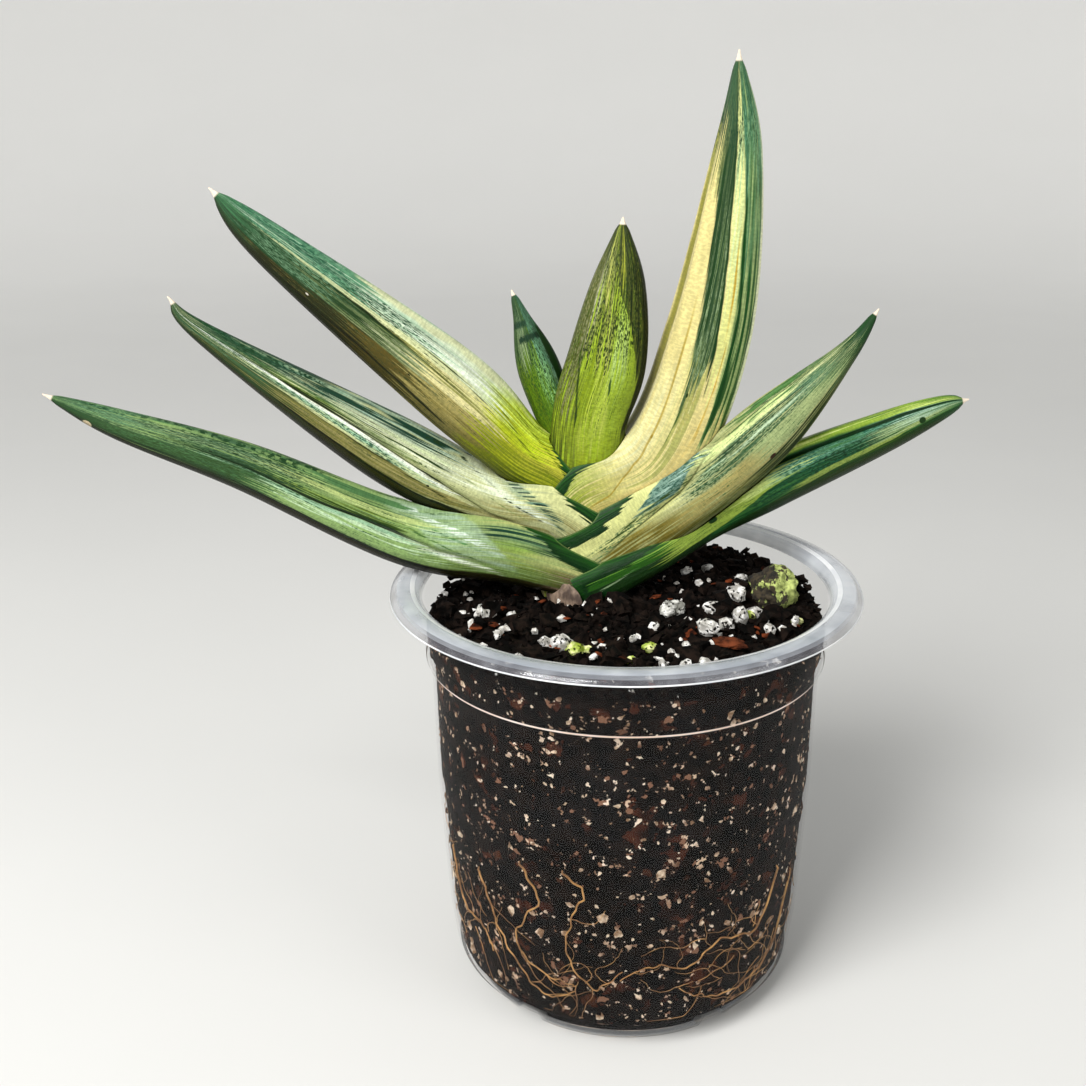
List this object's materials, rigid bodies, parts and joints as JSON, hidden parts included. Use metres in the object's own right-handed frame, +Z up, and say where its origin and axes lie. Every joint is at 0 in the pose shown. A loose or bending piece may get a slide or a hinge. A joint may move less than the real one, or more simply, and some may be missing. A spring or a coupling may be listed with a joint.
{
  "type": "potted snake plant",
  "caption": "Small potted snake plant: thick, pointed, striped leaves in a flat fan, clasping each other at the foot, in a clear round nursery pot of dark soil with visible roots.",
  "frame": {"origin": "centre of the pot's flat underside, on the surface that it stands on", "axes": "+Z up along the pot's axis; the leaves fan out along X, and the side that the picture shows faces -Y"},
  "size_m": [0.2425, 0.1277, 0.2515],
  "materials": {
    "pot": "clear thin plastic with a faint grey tint and a milky rim",
    "soil": "damp black-brown potting mix with pale grains, matte",
    "leaf_dark": "dark green succulent skin with cream and yellow-green stripes, waxy",
    "leaf_gold": "butter-yellow succulent skin with green stripes, waxy",
    "leaf_olive": "olive and mint succulent skin with cream stripes, waxy",
    "leaf_lime": "lime-green pebbled succulent skin with dark dashes, waxy",
    "leaf_blue": "blue-green succulent skin with darker bands, waxy",
    "dry_sheath": "dry brown papery scale",
    "roots": "golden tan fibrous roots, matte",
    "moss": "brown stone grown over with grey-green moss, matte",
    "pumice": "off-white pumice, matte",
    "bark": "reddish brown bark, matte"
  },
  "bodies": {
    "root": {"pot": "pot", "soil": "soil", "leaf_left_low": "leaf_dark", "leaf_left_mid": "leaf_dark", "leaf_left_top": "leaf_olive", "leaf_right_low": "leaf_dark", "leaf_right_mid": "leaf_dark", "leaf_right_top": "leaf_gold", "leaf_centre": "leaf_lime", "leaf_small_back": "leaf_blue", "dry_sheath": "dry_sheath", "roots": "roots", "moss_lump": "moss", "pumice_lump": "pumice", "bark_chip": "bark"}
  },
  "joints": []
}
